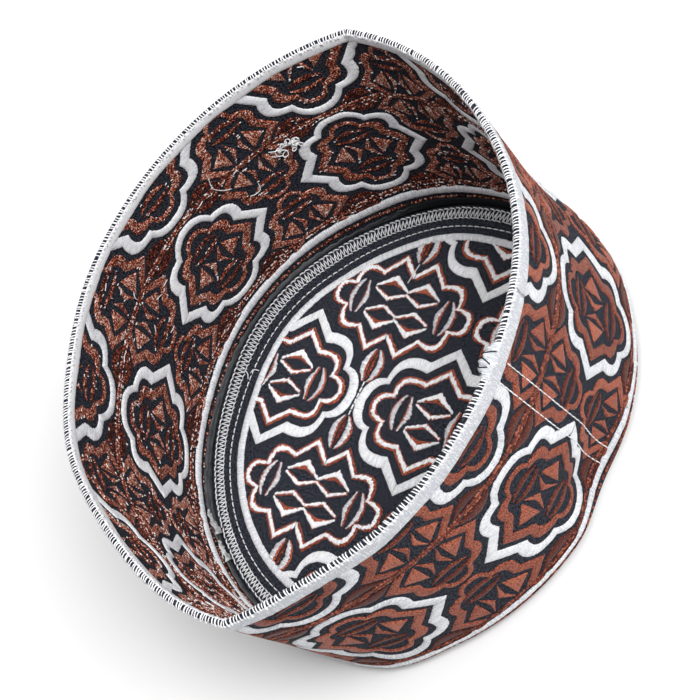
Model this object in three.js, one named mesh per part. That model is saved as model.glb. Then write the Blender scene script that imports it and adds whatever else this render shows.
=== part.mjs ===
import * as THREE from "three";

// A kufi, a brimless cloth cap with a flat oval crown and an upright side wall. It lies upside
// down on its crown, with the head opening up. Millimetres, +Z up. The origin is the middle of
// the crown's outer face, on the surface that the cap lies on. +Y runs to one of the two points
// of the head opening.

// The whole cap
const HEIGHT = 99.3;
const CROWN_HALF_X = 88.5;
const CROWN_HALF_Y = 93.5;

// The head opening is a pointed oval of two arcs that meet at two points on the long axis.
const RIM_HALF_LENGTH = 106.8;
const RIM_POINT_X = 6.0;
const RIM_SIDE_X = 84.2;
const RIM_FAR_SIDE_X = -84.6;

// Cloth and thread
const WALL_CLOTH = 1.6;
const CROWN_CLOTH = 1.8;
const CORNER_RADIUS = 4.5;
const GAP = 0.3;
const BINDING_THREAD = 0.8;
const BINDING_OUTSIDE = 7.0;
const BINDING_INSIDE = 6.0;
const ALLOWANCE_CLOTH = 0.8;
const ALLOWANCE_HEIGHT = 7.0;
const OVERLOCK_THREAD = 0.8;
const OVERLOCK_WIDTH = 4.2;

// Stations round the cap, a multiple of four so that both points of the rim are stations
const AROUND = 88;

// Where the soft wall leaves the plain form. The place and its half width are shares of the way
// round from +X, the height and its reach are shares of HEIGHT, and the depth is a share of
// CROWN_HALF_X, inward where it is positive.
const DENTS = [
  { place: 0.953, halfWidth: 0.042, height: 0.15, reach: 0.26, depth: 0.06 },
  { place: 0.102, halfWidth: 0.115, height: 0.14, reach: 0.45, depth: -0.068 },
  { place: 0.022, halfWidth: 0.048, height: 0.12, reach: 0.5, depth: -0.014 },
  { place: 0.775, halfWidth: 0.045, height: 0.0, reach: 0.25, depth: -0.026 },
  { place: 0.29, halfWidth: 0.09, height: 0.0, reach: 0.55, depth: 0.024 },
  { place: 0.42, halfWidth: 0.08, height: 0.0, reach: 0.55, depth: -0.024 },
  { place: 0.04, halfWidth: 0.1, height: 1.0, reach: 0.9, depth: -0.012 },
  { place: 0.53, halfWidth: 0.07, height: 1.0, reach: 0.9, depth: 0.014 },
  { place: 0.65, halfWidth: 0.09, height: 1.0, reach: 0.9, depth: 0.03 },
  { place: 0.8, halfWidth: 0.055, height: 1.0, reach: 0.9, depth: 0.018 },
];

// Levels of the wall's cloth between its foot and the binding, as shares of that height. They
// are closer where the wall is dented.
const WALL_LEVELS = [0, 0.012, 0.032, 0.075, 0.13, 0.195, 0.28, 0.41, 0.58, 0.78, 1];

// Levels of the crown's soft edge, as shares of its thickness
const EDGE_LEVELS = [0, 0.12, 0.45, 0.8, 1];

// How far along the way out the crown's flat rings lie
const CROWN_RINGS = [0.45, 0.8];

const CLOTH_COLOUR = 0x5c3530;
const THREAD_COLOUR = 0xe1e3e8;
const SEAM_CLOTH_COLOUR = 0x4b5055;

// The wall stands on the crown's edge.
const WALL_FOOT = CROWN_CLOTH + GAP;
const BINDING_FOOT_OUTSIDE = HEIGHT - BINDING_OUTSIDE;
const BINDING_FOOT_INSIDE = HEIGHT - BINDING_INSIDE;

// One smooth hump: 1 in the middle, 0 from one reach away on
function hump(distance) {
  const share = Math.min(Math.abs(distance), 1);
  return (1 + Math.cos(Math.PI * share)) / 2;
}

// The shorter way round between two shares of the way round
function wayBetween(from, to) {
  const way = to - from;
  return way - Math.round(way);
}

function crownOutline(around) {
  const turn = 2 * Math.PI * around;
  return new THREE.Vector2(CROWN_HALF_X * Math.cos(turn), CROWN_HALF_Y * Math.sin(turn));
}

// An arc over the opening's long axis: bulge is how far its middle stands off, to either side.
function rimArc(bulge, share) {
  const rise = Math.abs(bulge);
  const radius = (RIM_HALF_LENGTH ** 2 + rise ** 2) / (2 * rise);
  const turn = share * 2 * Math.atan(rise / RIM_HALF_LENGTH);
  const across = rise - radius + radius * Math.cos(turn);
  return new THREE.Vector2(RIM_POINT_X + Math.sign(bulge) * across, radius * Math.sin(turn));
}

// The two points of the opening lie a quarter and three quarters of the way round.
function rimOutline(around) {
  const way = wayBetween(0, around);
  if (Math.abs(way) <= 0.25) {
    return rimArc(RIM_SIDE_X - RIM_POINT_X, way * 4);
  }
  return rimArc(RIM_FAR_SIDE_X - RIM_POINT_X, wayBetween(around, 0.5) * 4);
}

function plainOutline(around, rise) {
  return crownOutline(around).lerp(rimOutline(around), rise);
}

function inwardNormal(around, rise) {
  const step = 0.001;
  const ahead = plainOutline(around + step, rise);
  const behind = plainOutline(around - step, rise);
  const along = ahead.sub(behind).normalize();
  return new THREE.Vector2(-along.y, along.x);
}

function dentDepth(around, rise) {
  let depth = 0;
  for (const dent of DENTS) {
    const sideways = hump(wayBetween(dent.place, around) / dent.halfWidth);
    const upright = hump((rise - dent.height) / dent.reach);
    depth += dent.depth * CROWN_HALF_X * sideways * upright;
  }
  return depth;
}

// The soft corner between crown and wall draws the outer face in below its radius.
function cornerInset(z) {
  const below = Math.max(CORNER_RADIUS - z, 0);
  return CORNER_RADIUS - Math.sqrt(CORNER_RADIUS ** 2 - below ** 2);
}

// A point a given depth inside the cap's outer face, at a share of the way round and a height
function clothPoint(around, z, depth) {
  const rise = z / HEIGHT;
  const inward = dentDepth(around, rise) + cornerInset(z) + depth;
  const point = plainOutline(around, rise).addScaledVector(inwardNormal(around, rise), inward);
  return new THREE.Vector3(point.x, point.y, z);
}

function meshGeometry(positions, index) {
  const geometry = new THREE.BufferGeometry();
  geometry.setAttribute("position", new THREE.Float32BufferAttribute(positions, 3));
  geometry.setIndex(index);
  geometry.computeVertexNormals();
  return geometry;
}

// Two triangles of the face between two stations and two points of the section
function pushFace(index, here, next, low, high) {
  index.push(here + low, next + low, next + high);
  index.push(here + low, next + high, here + high);
}

// A closed ring of cloth or thread: its section is a loop of points, each with a depth and a
// height, that starts outside at the foot and goes up, over and down the inside.
function ringGeometry(section) {
  const positions = [];
  const index = [];
  for (let station = 0; station < AROUND; station += 1) {
    const here = station * section.length;
    const next = ((station + 1) % AROUND) * section.length;
    for (let low = 0; low < section.length; low += 1) {
      const point = clothPoint(station / AROUND, section[low].z, section[low].depth);
      positions.push(point.x, point.y, point.z);
      pushFace(index, here, next, low, (low + 1) % section.length);
    }
  }
  return meshGeometry(positions, index);
}

// A closed oval panel: its profile runs from the middle of the outer face round the edge to the
// middle of the inner face. A ring of it is a share of the way out to a point of the edge.
function panelGeometry(rings, thickness) {
  const positions = [];
  const index = [];
  const outerMiddle = AROUND * rings.length;
  const innerMiddle = outerMiddle + 1;
  for (let station = 0; station < AROUND; station += 1) {
    const here = station * rings.length;
    const next = ((station + 1) % AROUND) * rings.length;
    for (let low = 0; low < rings.length; low += 1) {
      const ring = rings[low];
      const edge = clothPoint(station / AROUND, ring.z, 0);
      positions.push(edge.x * ring.share, edge.y * ring.share, ring.z);
      if (low + 1 < rings.length) {
        pushFace(index, here, next, low, low + 1);
      }
    }
    index.push(outerMiddle, next, here);
    index.push(innerMiddle, here + rings.length - 1, next + rings.length - 1);
  }
  positions.push(0, 0, 0);
  positions.push(0, 0, thickness);
  return meshGeometry(positions, index);
}

function crownGeometry() {
  const outside = CROWN_RINGS.map((share) => ({ share, z: 0 }));
  const edge = EDGE_LEVELS.map((level) => ({ share: 1, z: level * CROWN_CLOTH }));
  const inside = CROWN_RINGS.map((share) => ({ share, z: CROWN_CLOTH })).reverse();
  return panelGeometry([...outside, ...edge, ...inside], CROWN_CLOTH);
}

// The cloth is drawn thinner where the binding wraps it, so that the thread keeps its gap.
function wallGeometry() {
  const outside = WALL_LEVELS.map((level) => ({
    depth: 0,
    z: WALL_FOOT + level * (BINDING_FOOT_OUTSIDE - GAP - WALL_FOOT),
  }));
  const inside = WALL_LEVELS.map((level) => ({
    depth: WALL_CLOTH,
    z: WALL_FOOT + level * (BINDING_FOOT_INSIDE - GAP - WALL_FOOT),
  })).reverse();
  const top = HEIGHT - BINDING_THREAD - GAP;
  const drawnIn = [
    { depth: GAP, z: BINDING_FOOT_OUTSIDE },
    { depth: GAP, z: top },
    { depth: WALL_CLOTH - GAP, z: top },
    { depth: WALL_CLOTH - GAP, z: BINDING_FOOT_INSIDE },
  ];
  return ringGeometry([...outside, ...drawnIn, ...inside]);
}

// Thread wound over the rim: two legs, one on each face of the cloth, and a round back
function bindingGeometry() {
  const thread = BINDING_THREAD;
  const back = HEIGHT - 2 * thread;
  return ringGeometry([
    { depth: 0, z: BINDING_FOOT_OUTSIDE },
    { depth: -thread, z: BINDING_FOOT_OUTSIDE + thread / 2 },
    { depth: -thread, z: back },
    { depth: -thread / 2, z: HEIGHT - thread / 2 },
    { depth: WALL_CLOTH / 2, z: HEIGHT },
    { depth: WALL_CLOTH + thread / 2, z: HEIGHT - thread / 2 },
    { depth: WALL_CLOTH + thread, z: back },
    { depth: WALL_CLOTH + thread, z: BINDING_FOOT_INSIDE + thread / 2 },
    { depth: WALL_CLOTH, z: BINDING_FOOT_INSIDE },
    { depth: WALL_CLOTH, z: HEIGHT - thread },
    { depth: 0, z: HEIGHT - thread },
  ]);
}

// Seam cloth that stands against the wall's inner face, on the crown
function allowanceGeometry() {
  const outside = WALL_CLOTH + GAP;
  const inside = outside + ALLOWANCE_CLOTH;
  const top = WALL_FOOT + ALLOWANCE_HEIGHT;
  return ringGeometry([
    { depth: outside, z: WALL_FOOT },
    { depth: outside, z: WALL_FOOT + ALLOWANCE_HEIGHT / 3 },
    { depth: outside, z: top },
    { depth: inside, z: top },
    { depth: inside, z: WALL_FOOT + ALLOWANCE_HEIGHT / 3 },
    { depth: inside, z: WALL_FOOT },
  ]);
}

// Zigzag thread on the crown's inner face, beside the seam cloth
function overlockGeometry() {
  const outside = WALL_CLOTH + GAP + ALLOWANCE_CLOTH + GAP;
  const inside = outside + OVERLOCK_WIDTH;
  const middle = (outside + inside) / 2;
  return ringGeometry([
    { depth: outside, z: WALL_FOOT },
    { depth: outside, z: WALL_FOOT + OVERLOCK_THREAD / 2 },
    { depth: middle, z: WALL_FOOT + OVERLOCK_THREAD },
    { depth: inside, z: WALL_FOOT + OVERLOCK_THREAD / 2 },
    { depth: inside, z: WALL_FOOT },
  ]);
}

function cloth(colour, roughness) {
  return new THREE.MeshStandardMaterial({ color: colour, roughness, metalness: 0 });
}

function addPiece(parent, name, geometry, material) {
  const mesh = new THREE.Mesh(geometry, material);
  mesh.name = name;
  parent.add(mesh);
}

const kufi = new THREE.Group();
addPiece(kufi, "crown", crownGeometry(), cloth(CLOTH_COLOUR, 0.8));
addPiece(kufi, "side_wall", wallGeometry(), cloth(CLOTH_COLOUR, 0.8));
addPiece(kufi, "rim_overlock", bindingGeometry(), cloth(THREAD_COLOUR, 0.5));
addPiece(kufi, "seam_allowance", allowanceGeometry(), cloth(SEAM_CLOTH_COLOUR, 0.9));
addPiece(kufi, "seam_overlock", overlockGeometry(), cloth(THREAD_COLOUR, 0.5));

export default kufi;
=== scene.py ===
"""The looks of an embroidered kufi, a brimless cloth cap that lies open side up on its crown.

The cap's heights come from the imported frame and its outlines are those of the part's source. On
them this script lays the navy cloth, the satin figures of the wall and the crown, the wound rim,
the seams and the loose threads.
Lengths are in millimetres until a mesh is made, and the figures are charted on the flat cloth.
"""
import math
from collections import namedtuple

import bpy
import numpy as np
from mathutils import Matrix, Vector


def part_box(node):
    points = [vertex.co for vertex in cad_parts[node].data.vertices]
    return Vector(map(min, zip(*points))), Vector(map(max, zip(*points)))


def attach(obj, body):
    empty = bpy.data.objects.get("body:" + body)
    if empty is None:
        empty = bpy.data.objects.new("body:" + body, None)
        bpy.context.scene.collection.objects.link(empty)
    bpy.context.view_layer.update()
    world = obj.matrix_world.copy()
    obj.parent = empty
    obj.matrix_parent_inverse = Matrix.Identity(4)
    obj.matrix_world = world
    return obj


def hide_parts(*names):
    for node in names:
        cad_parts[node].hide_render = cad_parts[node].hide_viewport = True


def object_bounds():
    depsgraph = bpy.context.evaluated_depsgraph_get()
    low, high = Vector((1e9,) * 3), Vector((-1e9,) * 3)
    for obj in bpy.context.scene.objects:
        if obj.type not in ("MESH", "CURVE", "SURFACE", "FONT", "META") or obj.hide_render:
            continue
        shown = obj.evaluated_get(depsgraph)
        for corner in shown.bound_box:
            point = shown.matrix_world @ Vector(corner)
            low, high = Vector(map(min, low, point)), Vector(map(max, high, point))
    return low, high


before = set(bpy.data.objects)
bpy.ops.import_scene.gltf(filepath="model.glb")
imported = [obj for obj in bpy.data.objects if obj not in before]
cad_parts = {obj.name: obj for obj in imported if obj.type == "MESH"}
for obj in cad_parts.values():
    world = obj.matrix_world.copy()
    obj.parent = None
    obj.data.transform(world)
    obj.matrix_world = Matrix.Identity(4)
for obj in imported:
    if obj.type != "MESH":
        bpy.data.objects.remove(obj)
cad_low, cad_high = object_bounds()

MM = 0.001
rng = np.random.default_rng(24)

# Camera, at the photo's angle
CAMERA_PLACE = Vector((0.26010, -0.19031, 0.45582))
CAMERA_AIM = Vector((0.00104, 0.00530, 0.05000))
CAMERA_ROLL = math.radians(48.888)
CAMERA_LENS = 75.87
CAMERA_SENSOR = 36.0

# The cap, as in the part's own source
HEIGHT = cad_high.z / MM
CROWN_HALF_X = 88.5
CROWN_HALF_Y = 93.5
RIM_HALF_LENGTH = 106.8
RIM_POINT_X = 6.0
RIM_SIDE_X = 84.2
RIM_FAR_SIDE_X = -84.6
WALL_CLOTH = 1.6
CORNER_RADIUS = 4.5
CROWN_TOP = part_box("crown")[1].z / MM
CROWN_UNDERSIDE = 0.5
CROWN_FLOOR = 0.02
WALL_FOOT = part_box("side_wall")[0].z / MM
BINDING_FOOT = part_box("rim_overlock")[0].z / MM
ALLOWANCE_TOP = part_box("seam_allowance")[1].z / MM
ALLOWANCE_DEPTH = 1.9

# The rim's section: a round back over two straight legs, the inner one shorter
RIM_BELOW_CAD = 0.45
RIM_BACK_RADIUS = 1.3
RIM_BACK_DEPTH = WALL_CLOTH / 2
RIM_BACK_Z = HEIGHT - RIM_BELOW_CAD - RIM_BACK_RADIUS
RIM_ARC = math.pi * RIM_BACK_RADIUS / 2
RIM_OUTSIDE = RIM_ARC + RIM_BACK_Z - BINDING_FOOT
INSIDE_LEG_SHORTER = 2.3
RIM_INSIDE = RIM_OUTSIDE - INSIDE_LEG_SHORTER

# Where the soft wall leaves the plain form: shares of the way round, of the height and of the
# crown's half width, inward where the depth is positive
DENTS = [
    # place, half width, height, reach, depth
    (0.953, 0.042, 0.15, 0.26, 0.060),
    (0.102, 0.115, 0.14, 0.45, -0.068),
    (0.022, 0.048, 0.12, 0.50, -0.014),
    (0.775, 0.045, 0.00, 0.25, -0.026),
    (0.290, 0.090, 0.00, 0.55, 0.024),
    (0.420, 0.080, 0.00, 0.55, -0.024),
    (0.040, 0.100, 1.00, 0.90, -0.012),
    (0.530, 0.070, 1.00, 0.90, 0.014),
    (0.650, 0.090, 1.00, 0.90, 0.030),
    (0.800, 0.055, 1.00, 0.90, 0.018),
]

# Soft waves of the cloth between its dents: how many go round, how many go up, how deep
WAVES = [
    # round, up, depth, phase
    (7, 1.0, 0.16, 0.4),
    (11, 1.6, 0.12, 2.1),
    (17, 2.3, 0.09, 4.0),
    (26, 3.1, 0.06, 1.2),
]

# The even chart of the wall: columns of medallions go round the cap, and each figure's place is
# its distance round the cap and its height.
COLUMNS = 8
FIRST_COLUMN = 26.5
MEDALLION_HEIGHT = 42.0
ROW_STEP = 28.5
CHART_HEIGHTS = (3.0, 15.0, 42.0, 72.0)

# How far the photo's embroidery lies off the even chart, along the wall and up it, at the four
# chart heights. The columns that the photo hides have rough guesses.
PULL_OUTSIDE = [
    # place, along at the four heights, up at the four heights
    (26.5, -4.9, -4.9, -6.9, -5.6, 0.0, -5.0, -3.2, -2.5),
    (98.8, -2.0, -2.0, -1.0, 0.0, 0.0, -5.0, -1.0, 0.0),
    (171.1, -9.0, -9.0, -9.0, -9.0, 0.0, -5.0, 0.0, 0.0),
    (243.4, -7.0, -7.0, -7.0, -7.0, 0.0, -5.0, 0.0, 0.0),
    (315.7, -4.7, -4.7, -4.7, -4.7, 0.0, -5.0, 0.0, 0.0),
    (388.0, -4.0, -4.0, -4.0, -4.0, 0.0, -5.0, 0.0, 0.0),
    (460.3, -1.3, -1.3, -0.3, -3.9, 0.0, -5.2, -0.5, -0.5),
    (496.5, 0.0, 0.0, -1.0, -2.0, 0.0, -4.5, 0.0, 3.0),
    (532.6, 7.4, 7.4, 0.0, -4.0, 0.0, -5.0, 0.0, 0.5),
    (568.8, 0.0, 0.0, -3.0, -3.0, 0.0, -2.5, -1.0, 0.0),
]
PULL_INSIDE = [
    (26.5, -6.0, -6.0, -6.4, -6.4, 2.0, 2.0, 0.0, 0.0),
    (98.8, -11.0, -11.0, -11.0, -4.5, 2.0, 2.0, -1.0, -2.0),
    (171.1, -13.6, -13.6, -10.8, -6.0, 3.0, 3.0, 0.0, -4.8),
    (243.4, -7.4, -7.4, -6.8, -7.4, 1.2, 1.2, 0.3, 0.4),
    (315.7, -0.7, -0.7, -4.7, -5.0, 2.5, 2.5, -1.7, -1.7),
    (388.0, 0.0, 0.0, -4.0, -4.0, 3.0, 3.0, -4.0, -4.0),
    (460.3, -0.3, -0.3, -0.3, -0.3, 2.0, 2.0, 0.0, 0.0),
    (532.6, 0.0, 0.0, 0.0, 0.0, 2.0, 2.0, 0.0, 0.0),
]

# The chart's dotted rows, and the bands at the foot of the wall
DOT_ROWS = (70.5, 13.5)
FOOT_LINE = (6.1, 10.6)
FOOT_LINE_MIDDLE = 8.4
FOOT_LINE_OVER = 0.4
LAST_DOT_ROW = 3.7
LAST_DOT_SIZE = 1.7

# How far over the binding's foot a ribbon's last section lies, and how far its end may reach
LAST_SECTION = 0.6
UNDER_BINDING = 1.2

# The crown's chart, turned against the cap's long axis
CROWN_CHART_MIDDLE = (-24.0, 5.0)
CROWN_CHART_TURN = math.radians(-108.0)
CROWN_STEP_X = 81.5
CROWN_STEP_Y = 34.3
CROWN_FIGURE_X = 38.0
CROWN_MEDALLION_X = -3.0

# Rings of the crown, by their distance in from its edge, and how far they stray from it
CROWN_RING = (14.8, 18.2)
CROWN_RING_OVER = 0.18
CROWN_DASHES = 11.7
CROWN_ZIGZAG = (3.9, 8.0)
CROWN_STITCH_LINE = 3.3
RING_SHIFTS = [
    # distance round the cap, shift inward
    (111, -0.5), (142, -0.2), (198, 2.0), (257, 1.3), (308, -1.5), (340, -1.9), (430, -1.0), (520, -0.8),
]

# Embroidery: a ribbon's steps along, its rise over the cloth and how ragged its edges are. Narrow
# ribbons rise less and are less ragged.
STEP = 0.75
FINE_STEP = 0.5
CURVE_TO_CHORD = 1.1
RISE = 0.42
SINK = 0.2
LEAST_RISE = 0.14
RISE_BY_WIDTH = 0.3
EVEN = 0.09
RAGGED = 0.27
MOST_RAGGED = 0.45
RAGGED_WIDTH = 1.5


# Shape of the cap


def hump(distance):
    """A soft bell: 1 at no distance, 0 from a distance of 1."""
    return 0.5 * (1 + np.cos(np.pi * np.clip(np.abs(distance), 0, 1)))


def way_between(start, end):
    way = end - start
    return way - np.round(way)


def crown_outline(around):
    turn = 2 * np.pi * around
    return np.stack([CROWN_HALF_X * np.cos(turn), CROWN_HALF_Y * np.sin(turn)], -1)


def rim_arc(bulge, share):
    rise = abs(bulge)
    radius = (RIM_HALF_LENGTH**2 + rise**2) / (2 * rise)
    turn = share * 2 * math.atan(rise / RIM_HALF_LENGTH)
    across = rise - radius + radius * np.cos(turn)
    return np.stack([RIM_POINT_X + math.copysign(1, bulge) * across, radius * np.sin(turn)], -1)


def rim_outline(around):
    way = way_between(0.0, around)
    near = rim_arc(RIM_SIDE_X - RIM_POINT_X, way * 4)
    far = rim_arc(RIM_FAR_SIDE_X - RIM_POINT_X, way_between(around, 0.5) * 4)
    return np.where((np.abs(way) <= 0.25)[..., None], near, far)


def plain_outline(around, rise):
    share = rise[..., None]
    return crown_outline(around) * (1 - share) + rim_outline(around) * share


def outward(around, rise):
    step = 0.001
    along = plain_outline(around + step, rise) - plain_outline(around - step, rise)
    along /= np.linalg.norm(along, axis=-1, keepdims=True)
    return np.stack([along[..., 1], -along[..., 0]], -1)


def dent_depth(around, rise):
    depth = np.zeros_like(around)
    for place, half_width, height, reach, share in DENTS:
        sideways = hump(way_between(place, around) / half_width)
        depth += share * CROWN_HALF_X * sideways * hump((rise - height) / reach)
    return depth


def corner_inset(z):
    below = np.clip(CORNER_RADIUS - z, 0, CORNER_RADIUS)
    return CORNER_RADIUS - np.sqrt(CORNER_RADIUS**2 - below**2)


def wave_depth(around, rise):
    depth = np.zeros_like(around)
    for count, up, size, phase in WAVES:
        depth += size * np.sin(2 * np.pi * count * around + phase) * np.cos(np.pi * up * rise + phase)
    return depth * np.sin(np.pi * np.clip(rise, 0, 1)) ** 0.5


def cloth_point(around, z, depth):
    """Points a depth inside the cap's outer face, at shares of the way round and heights."""
    around, z, depth = np.broadcast_arrays(
        np.asarray(around, float), np.asarray(z, float), np.asarray(depth, float)
    )
    rise = z / HEIGHT
    inward = dent_depth(around, rise) + corner_inset(z) + wave_depth(around, rise) + depth
    flat = plain_outline(around, rise) - outward(around, rise) * inward[..., None]
    return np.concatenate([flat, z[..., None]], -1)


GIRTH_PARTS = 4000


def distances(points):
    """How far along a line of points each one lies."""
    steps = np.linalg.norm(np.diff(points, axis=0), axis=1)
    return np.concatenate([[0], np.cumsum(steps)])


def girth_table():
    """Distances along the wall, measured halfway up, at even shares of the way round."""
    around = np.linspace(0, 1, GIRTH_PARTS + 1)
    rise = np.full_like(around, 0.5)
    flat = plain_outline(around, rise) - outward(around, rise) * dent_depth(around, rise)[:, None]
    return around, distances(flat)


GIRTH_AROUND, GIRTH_LENGTH = girth_table()
GIRTH = GIRTH_LENGTH[-1]


def around_at(length):
    """Share of the way round at a distance along the wall."""
    return np.interp(np.mod(length, GIRTH), GIRTH_LENGTH, GIRTH_AROUND)


def even_lengths(step):
    count = math.ceil(GIRTH / step)
    return np.arange(count) * (GIRTH / count)


def table_value(table, length, column=1):
    """A column's value at a distance along the wall, out of rows that start with theirs."""
    rows = np.array(table)
    return np.interp(length, rows[:, 0], rows[:, column], period=GIRTH)


# Faces that embroidery lies on: each takes chart places and a height over the cloth


def pull(table, along, up):
    """Where a place of the even chart lies on the photo's wall."""
    count = len(CHART_HEIGHTS)
    level = np.interp(up, CHART_HEIGHTS, range(count))
    moved = [np.zeros_like(level), np.zeros_like(level)]
    for k in range(count):
        share = np.clip(1 - np.abs(level - k), 0, 1)
        for way in (0, 1):
            moved[way] += share * table_value(table, along, 1 + k + way * count)
    return along + moved[0], up + moved[1]


def wall_outside(length, z, out):
    return cloth_point(around_at(length), z, -out)


def wall_inside(length, z, out):
    return cloth_point(around_at(length), z, WALL_CLOTH + out)


Side = namedtuple("Side", "name pulls face binding_foot")
OUTSIDE = Side("outside", PULL_OUTSIDE, wall_outside, BINDING_FOOT)
INSIDE = Side("inside", PULL_INSIDE, wall_inside, BINDING_FOOT + INSIDE_LEG_SHORTER)


def figures_on(side):
    """The face for the wall's figures, from the foot line's middle to a little under the binding."""
    def face(x, y, out):
        length, z = pull(side.pulls, x, np.maximum(y, FOOT_LINE_MIDDLE))
        return side.face(length, np.minimum(z, side.binding_foot + UNDER_BINDING), out)
    return face


def bands_on(side):
    """The face for the wall's bands, down to its foot."""
    def face(x, y, out):
        length, z = pull(side.pulls, x, y)
        return side.face(length, np.maximum(z, WALL_FOOT), out)
    return face


def crown_edge(around, inset):
    return cloth_point(around, CROWN_TOP, inset)[..., :2]


def ring_inset(length, inset):
    """The inset of a ring's line, with the photo's shift, which fades toward the crown's edge."""
    fade = np.clip((inset - CROWN_STITCH_LINE) / (CROWN_DASHES - CROWN_STITCH_LINE), 0, 1)
    return inset + table_value(RING_SHIFTS, length) * fade


def ring_limit():
    """Polar outline of the middle of the crown's white ring, where its figures end."""
    length = np.linspace(0, GIRTH, 720, endpoint=False)
    edge = crown_edge(around_at(length), ring_inset(length, sum(CROWN_RING) / 2))
    angle = np.arctan2(edge[:, 1], edge[:, 0])
    order = np.argsort(angle)
    return angle[order], np.linalg.norm(edge, axis=1)[order]


LIMIT_ANGLE, LIMIT_RADIUS = ring_limit()


def from_crown_chart(x, y):
    c = math.cos(CROWN_CHART_TURN)
    s = math.sin(CROWN_CHART_TURN)
    return CROWN_CHART_MIDDLE[0] + c * x - s * y, CROWN_CHART_MIDDLE[1] + s * x + c * y


def ring_share(x, y):
    """How far out a crown place lies, 1 at the middle of the white ring."""
    limit = np.interp(np.arctan2(y, x), LIMIT_ANGLE, LIMIT_RADIUS, period=2 * np.pi)
    return np.hypot(x, y) / limit


def upper_face(out):
    return CROWN_TOP + out


def under_face(out):
    return np.maximum(CROWN_UNDERSIDE - out, CROWN_FLOOR)


def chart_on(height):
    """The crown's chart, at the heights that a face's height function gives."""
    def face(x, y, out):
        flat_x, flat_y = from_crown_chart(x, y)
        over = np.maximum(ring_share(flat_x, flat_y), 1)
        return np.stack([flat_x / over, flat_y / over, np.broadcast_to(height(out), flat_x.shape)], -1)
    return face


def rings_on(height):
    """The rings of the crown, by the distance round the cap and the inset from the crown's edge."""
    def face(length, inset, out):
        edge = crown_edge(around_at(length), ring_inset(length, inset))
        z = np.broadcast_to(height(out), edge.shape[:-1])
        return np.concatenate([edge, z[..., None]], -1)
    return face


seam_ring = rings_on(upper_face)


def over_rim(length, across, out):
    """A place on the rim: across runs from the inside leg (below 0) over the back to the outside."""
    turn = np.clip(across, -RIM_ARC, RIM_ARC) / RIM_BACK_RADIUS
    leg = np.maximum(np.abs(across) - RIM_ARC, 0)
    radius = RIM_BACK_RADIUS + out
    depth = RIM_BACK_DEPTH - radius * np.sin(turn)
    return cloth_point(around_at(length), RIM_BACK_Z + radius * np.cos(turn) - leg, depth)


# Ribbons of satin stitches: two rails of matching points, with threads laid across between them
Ribbon = namedtuple("Ribbon", "outer inner closed colour tone rise")


def bend(start, via, end, share):
    """A curve from start to end that passes via its middle point, or a straight line."""
    start, end = np.array(start, float), np.array(end, float)
    share = share[:, None]
    if via is None:
        return start + (end - start) * share
    control = 2 * np.array(via, float) - (start + end) / 2
    return (1 - share) ** 2 * start + 2 * share * (1 - share) * control + share**2 * end


def ribbon(outer, inner, colour="rust", tone=0.0, rise=RISE, step=STEP):
    """An open ribbon. A rail is a point, then a via point or None, then a point, and so on."""
    rails = [np.array([outer[0]], float)], [np.array([inner[0]], float)]
    for first in range(0, len(outer) - 2, 2):
        stretches = [rail[first : first + 3] for rail in (outer, inner)]
        length = CURVE_TO_CHORD * max(math.dist(start, end) for start, via, end in stretches)
        share = np.linspace(0, 1, max(2, math.ceil(length / step)) + 1)[1:]
        for rail, stretch in zip(rails, stretches):
            rail.append(bend(*stretch, share))
    return Ribbon(*map(np.concatenate, rails), False, colour, tone, rise)


def ring_ribbon(low, high, colour, rise, step=STEP, tone=0.0):
    """A ribbon right round the cap between two heights or two insets."""
    along = even_lengths(step)
    rails = [np.stack([along, np.full_like(along, place)], -1) for place in (high, low)]
    return Ribbon(*rails, True, colour, tone, rise)


def changed(piece, change):
    """A ribbon with the same change made to both of its rails."""
    return piece._replace(outer=change(piece.outer), inner=change(piece.inner))


def mirrored(piece, x=1, y=1):
    return changed(piece, lambda rail: rail * (x, y))


def placed(piece, x, y):
    return changed(piece, lambda rail: rail + (x, y))


def all_placed(pieces, x, y):
    return [placed(piece, x, y) for piece in pieces]


def middle_line(piece):
    return (piece.outer + piece.inner) / 2


def joined(first, second):
    """The second ribbon's points follow the first's, without their common point."""
    outer = np.concatenate([first.outer, second.outer[1:]])
    inner = np.concatenate([first.inner, second.inner[1:]])
    return first._replace(outer=outer, inner=inner)


def arch(quarter):
    """From one side over the top to the other, out of the quarter that ends at the top."""
    back = changed(mirrored(quarter, x=-1), lambda rail: rail[::-1])
    return joined(quarter, back)


def loop(quarter):
    """All round, out of the quarter from the side tip to the top."""
    upper = arch(quarter)
    whole = joined(upper, mirrored(upper, x=-1, y=-1))
    return changed(whole, lambda rail: rail[:-1])._replace(closed=True)


def side_ways(piece):
    return [mirrored(piece, x=x) for x in (1, -1)]


def up_and_down(pieces):
    return [mirrored(piece, y=y) for piece in pieces for y in (1, -1)]


def crescent(half, *rails):
    """Two rails of a crescent that lies level, each by the heights of its tips and its middle."""
    return [[(-half, tips), (0, middle), (half, tips)] for tips, middle in rails]


def upright(half, tips, middle):
    """One rail of a crescent that stands, by the places across of its tips and its middle."""
    return [(tips, half), None, (middle, 0), None, (tips, -half)]


WHITE_RISE = RISE + 0.08


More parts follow.
